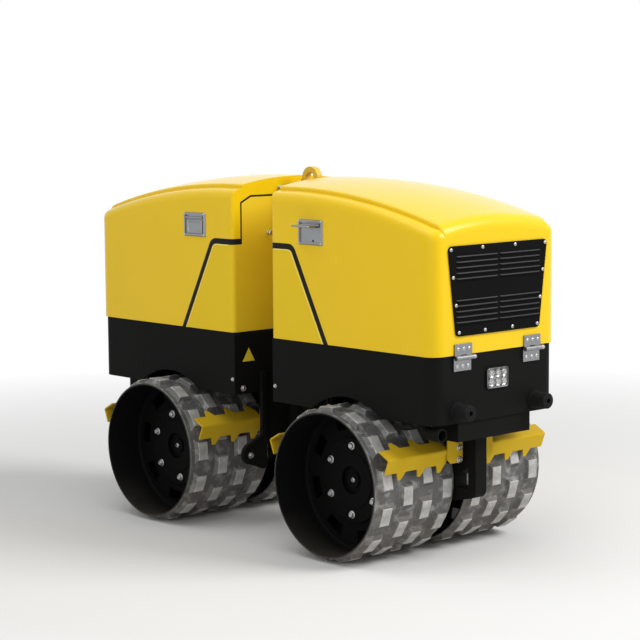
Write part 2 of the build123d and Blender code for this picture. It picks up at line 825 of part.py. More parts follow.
# Oscillation bearing of the front half
with BuildPart() as front_bearing:
    with BuildSketch(Plane.YZ.offset(bearing_start_x)):
        with Locations((0, articulation_z)):
            Circle(bearing_radius)
            Circle(shaft_radius + running_gap, mode=Mode.SUBTRACT)
    extrude(amount=carrier_inner_x - bearing_start_x)
save(front_bearing, "front_bearing")

# Steering cylinder
with BuildPart() as barrel:
    with BuildSketch(Plane.YZ.offset(barrel_pin_x)):
        with Locations((cylinder_y, cylinder_z)):
            Circle(barrel_radius)
    extrude(amount=barrel_length)
    with Locations((barrel_pin_x, cylinder_y, cylinder_z)):
        Box(
            2 * (eye_radius + cylinder_clearance), eye_cut, eye_cut,
            mode=Mode.SUBTRACT,
        )
        Cylinder(eye_radius, eye_height)
        Box(
            eye_radius + 2 * cylinder_clearance, eye_neck, eye_height,
            align=(Align.MIN, Align.CENTER, Align.CENTER),
        )
        Cylinder(cylinder_pin_radius + running_gap, 2 * eye_height, mode=Mode.SUBTRACT)
    with BuildSketch(Plane.YZ.offset(barrel_pin_x + barrel_bore_start)):
        with Locations((cylinder_y, cylinder_z)):
            Circle(rod_radius + running_gap)
    extrude(amount=barrel_length, mode=Mode.SUBTRACT)
save(barrel, "steering_barrel")

with BuildPart() as rod:
    with BuildSketch(Plane.YZ.offset(barrel_pin_x + rod_inside)):
        with Locations((cylinder_y, cylinder_z)):
            Circle(rod_radius)
    extrude(amount=rod_pin_x - barrel_pin_x - rod_inside)
    with Locations((rod_pin_x, cylinder_y, cylinder_z)):
        Cylinder(eye_radius, eye_height)
save(rod, "steering_rod")

with BuildPart() as bracket:
    with BuildSketch(Plane.XY.offset(cylinder_z + eye_height / 2 + link_gap)):
        with Locations((barrel_pin_x, cylinder_y)):
            Circle(eye_radius)
    extrude(until=Until.NEXT, target=mirror(chassis.part, about=Plane.YZ, mode=Mode.PRIVATE))
    with BuildSketch(Plane.XY.offset(cylinder_z - eye_height / 2 - link_gap)):
        with Locations((barrel_pin_x, cylinder_y)):
            Circle(cylinder_pin_radius)
    extrude(amount=eye_height + 2 * link_gap)
save(bracket, "barrel_bracket")

# Locking plate on the rear half's inner face: a bar with a boss beside its foot, and an apron
with BuildPart() as lock_plate:
    with BuildSketch(Plane.YZ.offset(-inner_x)):
        with Locations((lock_y, lock_low_z)):
            Rectangle(lock_width, lock_top_z - lock_low_z, align=(Align.MIN, Align.MIN))
        with BuildLine():
            Polyline(
                (lock_y, lock_low_z), (lock_boss_y, lock_boss_z - lock_boss_radius),
                (lock_boss_y, lock_boss_z + lock_boss_radius),
                (lock_y, lock_boss_z + lock_shoulder), close=True,
            )
        make_face()
        with Locations((lock_boss_y, lock_boss_z)):
            Circle(lock_boss_radius)
    extrude(amount=lock_thickness)
    with BuildSketch(Plane.YZ.offset(-inner_x)):
        with Locations((lock_y, axle_z + apron_rise)):
            Rectangle(
                apron_inner_y - lock_y, lock_top_z - axle_z - apron_rise,
                align=(Align.MIN, Align.MIN),
            )
    extrude(amount=apron_plate)
save(lock_plate, "lock_plate")

# Lifting post and eye
fork_deck = fork_top + fork_plate
with BuildPart() as post:
    with BuildSketch(Plane.XY.offset(fork_deck)):
        with Locations((post_x, 0)):
            Rectangle(post_depth, 2 * post_half_width, align=(Align.MIN, Align.CENTER))
    extrude(amount=post_top - fork_deck)
save(post, "lifting_post")

with BuildPart() as lifting_eye:
    with BuildSketch(Plane.XZ):
        with Locations((eye_x, eye_z)):
            Circle(lifting_radius)
        with BuildLine():
            Polyline(
                (post_x, post_top), (eye_x + lifting_radius, post_top),
                (eye_x + lifting_radius, eye_z), (eye_x - lifting_radius, eye_z), close=True,
            )
        make_face()
        with Locations((eye_x, eye_z)):
            Circle(lifting_bore, mode=Mode.SUBTRACT)
    extrude(amount=lifting_plate / 2, both=True)
save(lifting_eye, "lifting_eye")

# Engine, one plain block on the front base's floor
with BuildPart() as engine:
    with Locations((axle_x + engine_offset, 0, floor_z + base_wall)):
        Box(*engine_size, align=(Align.CENTER, Align.CENTER, Align.MIN))
save(engine, "engine_block")
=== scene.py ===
import json
from math import cos, pi, radians, sin

import bmesh
import bpy
from mathutils import Matrix, Vector


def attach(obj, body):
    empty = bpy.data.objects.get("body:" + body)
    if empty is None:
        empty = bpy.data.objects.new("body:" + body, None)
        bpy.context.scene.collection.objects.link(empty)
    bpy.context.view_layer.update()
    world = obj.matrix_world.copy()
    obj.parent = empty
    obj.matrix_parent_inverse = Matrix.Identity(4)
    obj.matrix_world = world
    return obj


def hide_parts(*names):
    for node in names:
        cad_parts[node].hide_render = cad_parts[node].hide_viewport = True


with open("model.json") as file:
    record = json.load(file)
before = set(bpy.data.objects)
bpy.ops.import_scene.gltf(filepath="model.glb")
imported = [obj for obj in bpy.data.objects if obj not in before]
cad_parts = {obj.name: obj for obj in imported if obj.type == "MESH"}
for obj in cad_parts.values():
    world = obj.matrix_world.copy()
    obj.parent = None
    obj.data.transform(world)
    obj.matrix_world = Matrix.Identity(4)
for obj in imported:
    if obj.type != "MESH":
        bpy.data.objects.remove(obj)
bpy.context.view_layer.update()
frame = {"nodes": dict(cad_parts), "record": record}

# Dressing of an articulated trench roller. Metres, in the model's own frame: +X to its front
# end, +Y to its left, +Z up, origin on the ground under the middle.

nodes = frame["nodes"]
scene = bpy.context.scene

# Camera: where it stands, how it looks, and its lens for a square picture
CAMERA_PLACE = (5.6649, -5.1947, 1.6738)
CAMERA_AZIMUTH = radians(47.338)
CAMERA_DOWN = radians(6.556)
CAMERA_ROLL = radians(-0.4255)
PICTURE_WIDTH = 640
FOCAL_PIXELS = 2026.9
SENSOR = 36.0

# Places on the machine
AXLE_X = 0.5
AXLE_Z = 0.278
SHELL_INNER = 0.253
PAD_TOP = 0.278
DRUM_END_Y = 0.425
DISC_RING_Y = 0.285
DISC_BOLT_RADIUS = 0.125
DISC_BOLTS = 6
HUB_Y = 0.279
BASE_TOP_Z = 0.76
BASE_END_X = 0.933
HOOD_END_X = 0.938
HOOD_SIDE_Y = 0.317
INNER_X = 0.108

# Grille: its face, its slots in two blocks of five rows, and its screws as (y, z)
GRILLE_X = 0.944
SLOT_Y = 0.109
SLOT_LENGTH = 0.205
# Half height of the painted shadow over each slot
SLOT_SHADOW_HALF = 0.0058
SLOT_PITCH = 0.019
SLOT_BLOCKS = (0.295, 0.145)
SLOT_ROWS_Z = tuple(BASE_TOP_Z + rise + SLOT_PITCH * row for rise in SLOT_BLOCKS for row in (-2, -1, 0, 1, 2))
GRILLE_SCREWS = (
    (0.240, 1.123), (0.083, 1.125), (0.229, 1.028), (0.215, 0.932), (0.200, 0.838), (0.070, 0.838),
)

# Hinges, latches and lamps
HINGE_Y = 0.177
HINGE_PIN_X = 0.9475
HINGE_PIN_Z = 0.751
HINGE_PIN_END = 0.0425
LEAF_THICKNESS = 0.006
LEAF_SCREW_RISE = 0.030
LEAF_SCREW_STEP = 0.027
LATCH_X = 0.326
LATCH_Z = 1.158
LATCH_FLOOR = 0.0015
LATCH_RIM = 0.006
LATCH_SCREWS = (0.0582, 0.0402)
LATCH_BAR_OUT = 0.0042
LATCH_BAR_RISE = 0.026
LAMP_Z = 0.664
LAMP_HALF = (0.0565, 0.0385)
LAMP_COLUMNS_Y = (-0.0315, 0.0, 0.0315)
LAMP_ROWS_Z = (-0.0155, 0.0155)

# Base and frame: points of the front half as (x, y, z), or (y, z) on the inner face
BUFFER_Y = 0.2
BUFFER_Z = 0.565
BUFFER_END_X = 1.0
BUFFER_SCREW_X = 0.984
FOOT_BOLT_X = 0.8105
FOOT_BOLT_Y = 0.058
FOOT_BOLTS_Z = (0.4080, 0.3640)
SKIRT_SCREW = (0.121, 0.312, 0.5816)
BOTTOM_SCREW = (0.905, 0.240, 0.5230)
REST_KNOB = (0.1394, 1.1275)
RIM_CATCH = (0.0815, 1.2976)
LOCK_BOLTS = ((-0.092, -0.2520, 0.2870), (-INNER_X, -0.272, 0.545))
OUTLET_Y = -0.274
OUTLET_Z = 0.490
OUTLET_BEND = 0.034
OUTLET_BEND_X = 0.880
OUTLET_TOP_Z = 0.540

# Bead of a cowl's side panel: its upper corner and the way down its slanted edge, as (x, z)
BEAD_CORNER = (0.2161, 1.0872)
BEAD_DOWN = (0.4594, -0.8883)
BEAD_LENGTH = 0.368
BEAD_BEND = 0.014
BEAD_START_X = INNER_X + 0.020
BEAD_SECTION = (
    (-0.0034, -0.0005), (-0.0030, 0.0014), (-0.0017, 0.0026), (0, 0.0030),
    (0.0017, 0.0026), (0.0030, 0.0014), (0.0034, -0.0005),
)
SIGN_CORNERS = ((-0.2792, 0.6425), (-0.2066, 0.6425), (-0.2429, 0.7040))
SHARP_ANGLE = radians(32)
ENDS = {"front": 1, "rear": -1}
SIDES = {"left": 1, "right": -1}


def make_camera():
    lens = bpy.data.cameras.new("camera")
    lens.sensor_width = SENSOR
    lens.lens = FOCAL_PIXELS / PICTURE_WIDTH * SENSOR
    lens.clip_end = 60
    camera = bpy.data.objects.new("camera", lens)
    scene.collection.objects.link(camera)
    ahead = Vector((
        -sin(CAMERA_AZIMUTH) * cos(CAMERA_DOWN),
        cos(CAMERA_AZIMUTH) * cos(CAMERA_DOWN),
        -sin(CAMERA_DOWN),
    ))
    right = Vector((cos(CAMERA_AZIMUTH), sin(CAMERA_AZIMUTH), 0))
    up = right.cross(ahead)
    turned_right = right * cos(CAMERA_ROLL) + up * sin(CAMERA_ROLL)
    turned_up = up * cos(CAMERA_ROLL) - right * sin(CAMERA_ROLL)
    axes = Matrix((turned_right, turned_up, -ahead)).transposed()
    camera.matrix_world = Matrix.Translation(CAMERA_PLACE) @ axes.to_4x4()
    scene.camera = camera


class Finish:
    """A material under construction: its node tree, its shader, and short ways to add to them."""

    def __init__(self, name, color, roughness, metallic=0.0, specular=0.5):
        self.material = bpy.data.materials.new(name)
        self.material.use_nodes = True
        self.tree = self.material.node_tree
        self.shader = self.tree.nodes["Principled BSDF"]
        self.shader.inputs["Base Color"].default_value = (*color, 1)
        self.shader.inputs["Roughness"].default_value = roughness
        self.shader.inputs["Metallic"].default_value = metallic
        self.shader.inputs["Specular IOR Level"].default_value = specular

    def node(self, kind, **settings):
        made = self.tree.nodes.new(kind)
        for name, value in settings.items():
            setattr(made, name, value)
        return made

    def link(self, source, target):
        self.tree.links.new(source, target)

    def feed(self, source, socket):
        self.link(source, self.shader.inputs[socket])

    def effect(self, group, **values):
        """Places a shared effect with this finish's own values."""
        made = self.node("ShaderNodeGroup", node_tree=group)
        for name, value in values.items():
            made.inputs[name.replace("_", " ").capitalize()].default_value = value
        return made

    def mixed(self, mask, below, above):
        """below where the mask is 0 and above where it is 1; each a socket or a colour."""
        mix = self.node("ShaderNodeMix", data_type="RGBA")
        self.link(mask, mix.inputs["Factor"])
        for value, target in ((below, mix.inputs[6]), (above, mix.inputs[7])):
            if isinstance(value, tuple):
                target.default_value = (*value, 1)
            else:
                self.link(value, target)
        return mix.outputs[2]

    def ranged(self, value, low, high, from_low=0.0, from_high=1.0):
        """The value, from_low to from_high, spread from low to high."""
        spread = self.node("ShaderNodeMapRange")
        self.link(value, spread.inputs["Value"])
        spread.inputs["From Min"].default_value = from_low
        spread.inputs["From Max"].default_value = from_high
        spread.inputs["To Min"].default_value = low
        spread.inputs["To Max"].default_value = high
        return spread.outputs["Result"]

    def place(self, axis):
        """One object coordinate."""
        parts = self.node("ShaderNodeSeparateXYZ")
        self.link(self.node("ShaderNodeTexCoord").outputs["Object"], parts.inputs[0])
        return parts.outputs[axis]

    def bumped(self, height, strength, distance, normal=None):
        bump = self.node("ShaderNodeBump")
        bump.inputs["Strength"].default_value = strength
        bump.inputs["Distance"].default_value = distance
        self.link(height, bump.inputs["Height"])
        if normal is not None:
            self.link(normal, bump.inputs["Normal"])
        self.feed(bump.outputs["Normal"], "Normal")


def new_group(name, inputs, outputs):
    """An empty shader group with float inputs {name: value} and outputs {name: socket type}."""
    group = bpy.data.node_groups.new(name, "ShaderNodeTree")
    for label, value in inputs.items():
        socket = group.interface.new_socket(label, in_out="INPUT", socket_type="NodeSocketFloat")
        socket.default_value = value
    for label, kind in outputs.items():
        group.interface.new_socket(label, in_out="OUTPUT", socket_type=kind)
    return group, group.nodes.new("NodeGroupInput").outputs, group.nodes.new("NodeGroupOutput").inputs


def chain_math(group, operation, *values, clamp=False):
    """A math node in a group; each value is a socket or a number."""
    node = group.nodes.new("ShaderNodeMath")
    node.operation = operation
    node.use_clamp = clamp
    for target, value in zip(node.inputs, values):
        if isinstance(value, (int, float)):
            target.default_value = value
        else:
            group.links.new(value, target)
    return node.outputs[0]


def noise(group, scale, detail=3.0, roughness=0.55):
    """Noise on object coordinates in a group; its scale is a socket or a number."""
    place = group.nodes.new("ShaderNodeTexCoord")
    texture = group.nodes.new("ShaderNodeTexNoise")
    group.links.new(place.outputs["Object"], texture.inputs["Vector"])
    texture.inputs["Detail"].default_value = detail
    texture.inputs["Roughness"].default_value = roughness
    if isinstance(scale, (int, float)):
        texture.inputs["Scale"].default_value = scale
    else:
        group.links.new(scale, texture.inputs["Scale"])
    return texture.outputs["Fac"]


def coordinates(group):
    """The three object coordinates in a group."""
    place = group.nodes.new("ShaderNodeTexCoord")
    parts = group.nodes.new("ShaderNodeSeparateXYZ")
    group.links.new(place.outputs["Object"], parts.inputs[0])
    return parts.outputs


def grain_group():
    """Fine and broad unevenness of a surface."""
    group, given, out = new_group(
        "grain", {"Fine scale": 400.0, "Broad scale": 6.0},
        {"Fine": "NodeSocketFloat", "Broad": "NodeSocketFloat"},
    )
    group.links.new(noise(group, given["Fine scale"], 2.0), out["Fine"])
    group.links.new(noise(group, given["Broad scale"], 4.0), out["Broad"])
    return group


def edge_wear_and_highlight_group():
    """Edges: a mask along them for wear and for painted highlight, broken up by noise, and the rounded
    normal.
    """
    group, given, out = new_group(
        "edge wear and highlight", {"Radius": 0.003, "Gain": 4.0, "Breakup scale": 60.0},
        {"Mask": "NodeSocketFloat", "Normal": "NodeSocketVector"},
    )
    rounded = group.nodes.new("ShaderNodeBevel")
    rounded.samples = 6
    group.links.new(given["Radius"], rounded.inputs["Radius"])
    surface = group.nodes.new("ShaderNodeNewGeometry")
    agreement = group.nodes.new("ShaderNodeVectorMath")
    agreement.operation = "DOT_PRODUCT"
    group.links.new(rounded.outputs["Normal"], agreement.inputs[0])
    group.links.new(surface.outputs["Normal"], agreement.inputs[1])
    edge = chain_math(group, "SUBTRACT", 1.0, agreement.outputs["Value"])
    strong = chain_math(group, "MULTIPLY", edge, given["Gain"])
    rough = noise(group, given["Breakup scale"], 5.0, 0.7)
    spread = chain_math(group, "MULTIPLY_ADD", rough, 2.4, -0.7)
    group.links.new(chain_math(group, "MULTIPLY", strong, spread, clamp=True), out["Mask"])
    group.links.new(rounded.outputs["Normal"], out["Normal"])
    return group


def dust_group():
    """Dust: on what faces up, and near the ground."""
    group, given, out = new_group(
        "dust", {"Upward": 0.3, "Ground height": 0.25, "Ground": 0.4, "Patch scale": 9.0},
        {"Mask": "NodeSocketFloat"},
    )
    surface = group.nodes.new("ShaderNodeNewGeometry")
    facing = group.nodes.new("ShaderNodeSeparateXYZ")
    group.links.new(surface.outputs["Normal"], facing.inputs[0])
    upward = chain_math(group, "MULTIPLY", facing.outputs["Z"], given["Upward"], clamp=True)
    share = chain_math(group, "DIVIDE", coordinates(group)["Z"], given["Ground height"])
    low = chain_math(group, "SUBTRACT", 1.0, share, clamp=True)
    near_ground = chain_math(group, "MULTIPLY", low, given["Ground"])
    both = chain_math(group, "ADD", upward, near_ground)
    patches = chain_math(group, "MULTIPLY_ADD", noise(group, given["Patch scale"], 6.0), 1.8, -0.35)
    group.links.new(chain_math(group, "MULTIPLY", both, patches, clamp=True), out["Mask"])
    return group


def axle_group():
    """Radius about the nearer axle."""
    group, _, out = new_group("about the axle", {}, {"Radius": "NodeSocketFloat"})
    place = coordinates(group)
    along = chain_math(group, "SUBTRACT", chain_math(group, "ABSOLUTE", place["X"]), AXLE_X)
    above = chain_math(group, "SUBTRACT", place["Z"], AXLE_Z)
    total = chain_math(
        group, "ADD", chain_math(group, "POWER", chain_math(group, "ABSOLUTE", along), 2.0),
        chain_math(group, "POWER", chain_math(group, "ABSOLUTE", above), 2.0),
    )
    group.links.new(chain_math(group, "SQRT", total), out["Radius"])
    return group


GRAIN = grain_group()
EDGE_WEAR_AND_HIGHLIGHT = edge_wear_and_highlight_group()
DUST = dust_group()
ABOUT_AXLE = axle_group()
DUST_COLOR = (0.42, 0.37, 0.30)
DIRT_COLOR = (0.3, 0.28, 0.25)
EDGE_METAL = (0.75, 0.74, 0.72)
COAT_IOR = 1.25


def paint(name, color, roughness, edge, edge_gain, dust, coat=0.0, specular=0.5):
    """Machine paint with orange peel, a tint on rounded edges and a little dust; the edge tint is wear, and
    painted highlight where it is a paler yellow.
    """
    finish = Finish(name, color, roughness, specular=specular)
    grain = finish.effect(GRAIN, fine_scale=320.0, broad_scale=3.0)
    wear = finish.effect(EDGE_WEAR_AND_HIGHLIGHT, radius=0.003, gain=edge_gain, breakup_scale=45.0)
    settled = finish.effect(DUST, upward=0.25 * dust, ground_height=0.6, ground=dust, patch_scale=7.0)
    shade = tuple(0.95 * value for value in color)
    light = tuple(min(1.04 * value, 1) for value in color)
    tone = finish.mixed(grain.outputs["Broad"], shade, light)
    # Edge tint: wear where the edge colour is darker, painted highlight where it is a paler yellow.
    worn = finish.mixed(wear.outputs["Mask"], tone, edge)
    dusty = finish.mixed(settled.outputs["Mask"], worn, DUST_COLOR)
    finish.feed(dusty, "Base Color")
    rough = finish.ranged(grain.outputs["Broad"], roughness * 0.85, roughness * 1.15)
    finish.feed(rough, "Roughness")
    finish.bumped(grain.outputs["Fine"], 0.06, 0.0006, wear.outputs["Normal"])
    finish.shader.inputs["Coat Weight"].default_value = coat
    finish.shader.inputs["Coat Roughness"].default_value = 0.2
    finish.shader.inputs["Coat IOR"].default_value = COAT_IOR
    return finish.material


def bare_metal(name, color, roughness, spread, edge_gain, dirt, dirt_color=DIRT_COLOR):
    """Bare metal: brushed or plated, brighter on its edges, and dirty on what faces up and near the ground.
    """
    finish = Finish(name, color, roughness, metallic=1.0)
    grain = finish.effect(GRAIN, fine_scale=260.0, broad_scale=14.0)
    wear = finish.effect(EDGE_WEAR_AND_HIGHLIGHT, radius=0.001, gain=edge_gain, breakup_scale=70.0)
    settled = finish.effect(DUST, upward=0.5 * dirt, ground_height=0.5, ground=dirt, patch_scale=16.0)
    shade = tuple(value * (1 - spread) for value in color)
    tone = finish.mixed(grain.outputs["Broad"], shade, color)
    worn = finish.mixed(wear.outputs["Mask"], tone, EDGE_METAL)
    dirty = finish.mixed(settled.outputs["Mask"], worn, dirt_color)
    finish.feed(dirty, "Base Color")
    rough = finish.ranged(grain.outputs["Broad"], roughness * 0.8, min(roughness * 1.3, 1))
    finish.feed(rough, "Roughness")
    metal = finish.ranged(settled.outputs["Mask"], 1.0, 0.0)
    finish.feed(metal, "Metallic")
    finish.bumped(grain.outputs["Fine"], 0.12, 0.001, wear.outputs["Normal"])
    return finish.material


def drum_steel():
    """Cast drum: scuffed grey steel, bright pad tops, brown dirt between them, a rim face darkened as painted
    shade, black inside.
    """
    finish = Finish("drum steel", (0.3, 0.3, 0.3), 0.55, metallic=0.35)
    radius = finish.effect(ABOUT_AXLE).outputs["Radius"]
    grain = finish.effect(GRAIN, fine_scale=170.0, broad_scale=11.0)
    scuff = finish.effect(GRAIN, fine_scale=75.0, broad_scale=28.0)
    wear = finish.effect(EDGE_WEAR_AND_HIGHLIGHT, radius=0.004, gain=2.6, breakup_scale=55.0)
    settled = finish.effect(DUST, upward=0.1, ground_height=0.42, ground=0.75, patch_scale=19.0)
    shell = finish.mixed(grain.outputs["Broad"], (0.05, 0.049, 0.048), (0.22, 0.22, 0.216))
    scuffed = finish.ranged(scuff.outputs["Broad"], 0.0, 0.65, 0.5, 0.72)
    streaked = finish.mixed(scuffed, shell, (0.50, 0.50, 0.49))
    soiled = finish.mixed(settled.outputs["Mask"], streaked, (0.17, 0.145, 0.115))
    top_mask = finish.ranged(radius, 0.0, 1.0, PAD_TOP - 0.004, PAD_TOP - 0.0012)
    top_tone = finish.mixed(scuff.outputs["Fine"], (0.30, 0.29, 0.27), (0.66, 0.65, 0.63))
    topped = finish.mixed(top_mask, soiled, top_tone)
    outward = finish.node("ShaderNodeMath", operation="ABSOLUTE")
    finish.link(finish.place("Y"), outward.inputs[0])
    # The drum's outer end face, darkened nearly to black: painted shade.
    rim_shade_mask = finish.ranged(outward.outputs[0], 0.0, 0.85, DRUM_END_Y - 0.0012, DRUM_END_Y - 0.0004)
    rim_shaded = finish.mixed(rim_shade_mask, topped, (0.035, 0.035, 0.034))
    worn = finish.mixed(wear.outputs["Mask"], rim_shaded, (0.62, 0.61, 0.59))
    inside = finish.ranged(radius, 1.0, 0.0, SHELL_INNER + 0.002, SHELL_INNER + 0.005)
    low = finish.ranged(finish.place("Z"), 0.8, 0.0, 0.03, 0.15)
    rim_near = finish.ranged(outward.outputs[0], 0.0, 1.0, 0.30, 0.40)
    swept = finish.node("ShaderNodeMath", operation="MULTIPLY")
    finish.link(low, swept.inputs[0])
    finish.link(rim_near, swept.inputs[1])
    broken = finish.node("ShaderNodeMath", operation="MULTIPLY")
    finish.link(swept.outputs[0], broken.inputs[0])
    finish.link(grain.outputs["Broad"], broken.inputs[1])
    inner_tone = finish.mixed(broken.outputs[0], (0.0045, 0.0045, 0.0045), (0.07, 0.06, 0.045))
    finish.feed(finish.mixed(inside, worn, inner_tone), "Base Color")
    finish.feed(finish.ranged(inside, 0.35, 0.0), "Metallic")
    finish.feed(finish.ranged(scuff.outputs["Broad"], 0.42, 0.72), "Roughness")
    finish.bumped(grain.outputs["Fine"], 0.35, 0.002, wear.outputs["Normal"])
    finish.shader.inputs["Specular IOR Level"].default_value = 0.12
    return finish.material


def eye_paint():
    """The lifting eye's yellow, with orange primer on the web behind its ring."""
    finish = Finish("eye yellow", (0.72, 0.46, 0.03), 0.45)
    grain = finish.effect(GRAIN, fine_scale=300.0, broad_scale=22.0)
    wear = finish.effect(EDGE_WEAR_AND_HIGHLIGHT, radius=0.003, gain=3.0, breakup_scale=60.0)
    behind = finish.ranged(finish.place("X"), 1.0, 0.0, -0.056, -0.048)
    tone = finish.mixed(grain.outputs["Broad"], (0.66, 0.41, 0.02), (0.78, 0.52, 0.04))
    primed = finish.mixed(behind, tone, (0.80, 0.11, 0.012))
    finish.feed(finish.mixed(wear.outputs["Mask"], primed, (0.45, 0.36, 0.24)), "Base Color")
    finish.feed(finish.ranged(grain.outputs["Broad"], 0.38, 0.55), "Roughness")
    finish.bumped(grain.outputs["Fine"], 0.1, 0.0008, wear.outputs["Normal"])
    return finish.material


def soft_black(name, color, roughness, dust, specular):
    """Rubber or moulded plastic."""
    finish = Finish(name, color, roughness, specular=specular)
    grain = finish.effect(GRAIN, fine_scale=500.0, broad_scale=20.0)
    wear = finish.effect(EDGE_WEAR_AND_HIGHLIGHT, radius=0.0015, gain=1.0, breakup_scale=80.0)
    settled = finish.effect(DUST, upward=dust, ground_height=0.6, ground=dust, patch_scale=25.0)
    tone = finish.mixed(grain.outputs["Broad"], color, tuple(1.6 * value for value in color))
    dusty = finish.mixed(settled.outputs["Mask"], tone, DUST_COLOR)
    finish.feed(dusty, "Base Color")
    rough = finish.ranged(grain.outputs["Broad"], roughness * 0.9, min(roughness * 1.15, 1))
    finish.feed(rough, "Roughness")
    finish.bumped(grain.outputs["Fine"], 0.15, 0.0005, wear.outputs["Normal"])
    return finish.material


def clear_lens():
    """Clear moulded lens with faint flow marks."""
    finish = Finish("lamp lens", (0.95, 0.95, 0.95), 0.05)
    grain = finish.effect(GRAIN, fine_scale=180.0, broad_scale=60.0)
    finish.shader.inputs["Transmission Weight"].default_value = 1.0
    finish.shader.inputs["IOR"].default_value = 1.25
    finish.feed(finish.ranged(grain.outputs["Broad"], 0.02, 0.12), "Roughness")
    finish.bumped(grain.outputs["Fine"], 0.04, 0.0005)
    return finish.material


# The paler yellow edge colours of the hood and panel paints are a painted highlight along their edges.
YELLOW = paint(
    "hood yellow", (0.87, 0.572, 0.005), roughness=0.36, edge=(0.92, 0.70, 0.05), edge_gain=1.5,
    dust=0.02, coat=0.9, specular=0.1,
)
PANEL_YELLOW = paint(
    "panel yellow", (0.83, 0.565, 0.02), roughness=0.55, edge=(0.88, 0.66, 0.08), edge_gain=1.5,
    dust=0.03, specular=0.15,
)
# The bead is painted paler than the panel it edges: a painted highlight along the panel's edge.
BEAD_HIGHLIGHT_YELLOW = paint(
    "bead yellow, painted highlight", (0.93, 0.72, 0.10), roughness=0.34, edge=(0.92, 0.74, 0.12), edge_gain=1.0,
    dust=0.02, coat=0.5, specular=0.3,
)
# The scrapers get a darker yellow than the hood paint they really wear: painted shade. Their brown edge
# colour is wear.
SHADED_SCRAPER_YELLOW = paint(
    "scraper yellow, painted shade", (0.62, 0.40, 0.008), roughness=0.5, edge=(0.36, 0.28, 0.16), edge_gain=2.2,
    dust=0.10, specular=0.08,
)
SIGN_YELLOW = paint(
    "sign yellow", (0.80, 0.62, 0.03), roughness=0.4, edge=(0.70, 0.55, 0.1), edge_gain=1.0, dust=0.02,
)
BLACK = paint(
    "frame black", (0.0065, 0.0065, 0.0062), roughness=0.6, edge=(0.016, 0.016, 0.016), edge_gain=1.5,
    dust=0.01, specular=0.05,
)
MATT_BLACK = paint(
    "grille black", (0.004, 0.004, 0.004), roughness=0.6, edge=(0.016, 0.016, 0.016), edge_gain=1.5,
    dust=0.006, specular=0.04,
)
EYE = eye_paint()
DRUM_STEEL = drum_steel()
STAINLESS = bare_metal(
    "stainless", (0.31, 0.315, 0.325), roughness=0.34, spread=0.18, edge_gain=1.2, dirt=0.03,
)
ZINC = bare_metal(
    "zinc", (0.54, 0.54, 0.54), roughness=0.34, spread=0.25, edge_gain=2.0, dirt=0.06,
    dirt_color=(0.3, 0.27, 0.22),
)
CHROME = bare_metal("rod chrome", (0.8, 0.8, 0.8), roughness=0.1, spread=0.05, edge_gain=1.0, dirt=0.0)
REFLECTOR = bare_metal("reflector", (0.5, 0.5, 0.5), roughness=0.2, spread=0.1, edge_gain=1.0, dirt=0.0)
RUBBER = soft_black("rubber", (0.007, 0.007, 0.007), roughness=0.7, dust=0.015, specular=0.1)
SEAL_RUBBER = soft_black("seal rubber", (0.008, 0.008, 0.009), roughness=0.62, dust=0.01, specular=0.12)
LAMP_BODY = soft_black("lamp body", (0.006, 0.006, 0.006), roughness=0.5, dust=0.005, specular=0.1)
# Near black for the dark inside grille slots and latch holes: painted shade.
HOLE_SHADE = soft_black("painted hole shade", (0.003, 0.003, 0.003), roughness=0.9, dust=0.0, specular=0.05)
# A lighter black than the grille the lips are pressed from: painted light on the lips.
LIGHTENED_LOUVRE_BLACK = soft_black("louvre black, painted light", (0.011, 0.011, 0.011), roughness=0.42, dust=0.0, specular=0.3)
ENGINE = soft_black("engine grey", (0.05, 0.05, 0.055), roughness=0.6, dust=0.0, specular=0.35)
LED = soft_black("diode plastic", (0.34, 0.34, 0.32), roughness=0.25, dust=0.0, specular=0.5)
LENS = clear_lens()

SLOT_FINISH = {
    "hood_yellow": YELLOW,
    "frame_black": BLACK,
    "drum_steel": DRUM_STEEL,
    "zinc_steel": ZINC,
    "stainless": STAINLESS,
    "rod_chrome": CHROME,
    "rubber_black": RUBBER,
    "lamp_body": LAMP_BODY,
    "engine_grey": ENGINE,
}


def dress_nodes():
    """Gives each CAD node the finish of its slot, and a few their own."""
    slots = {entry["node"]: entry["material_slot"] for entry in frame["record"]["subparts"]}
    own = {"lifting_eye": EYE}
    for end in ENDS:
        own[f"{end}_cowl"] = PANEL_YELLOW
        own[f"{end}_scrapers"] = SHADED_SCRAPER_YELLOW
        own[f"{end}_grille"] = MATT_BLACK
        own[f"{end}_seals"] = SEAL_RUBBER
        for side in SIDES:
            own[f"{end}_{side}_disc"] = MATT_BLACK
    for name, node in nodes.items():
        finish = own.get(name, SLOT_FINISH[slots[name]])
        for place in node.material_slots:
            place.material = finish


def mesh_of(shape, name):
    """The bmesh as a mesh, its faces outwards and smooth, apart from sharp edges."""
    bmesh.ops.recalc_face_normals(shape, faces=shape.faces)
    mesh = bpy.data.meshes.new(name)
    shape.to_mesh(mesh)
    shape.free()
    mesh.shade_smooth()
    mesh.set_sharp_from_angle(angle=SHARP_ANGLE)
    return mesh


def piece(name, mesh, finish, body):
    """A made piece that rides on a CAD body."""
    made = bpy.data.objects.new(name, mesh)
    scene.collection.objects.link(made)
    if not mesh.materials:
        mesh.materials.append(finish)
    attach(made, body)
    return made


def looped(shape, loops, close_first=True, close_last=True):
    """Skins rings of equally many points one after another, and caps the ends."""
    rings = [[shape.verts.new(point) for point in loop] for loop in loops]
    for lower, upper in zip(rings, rings[1:]):
        for k in range(len(lower)):
            after = (k + 1) % len(lower)
            shape.faces.new((lower[k], lower[after], upper[after], upper[k]))
    if close_first:
        shape.faces.new(rings[0][::-1])
    if close_last:
        shape.faces.new(rings[-1])
    return rings


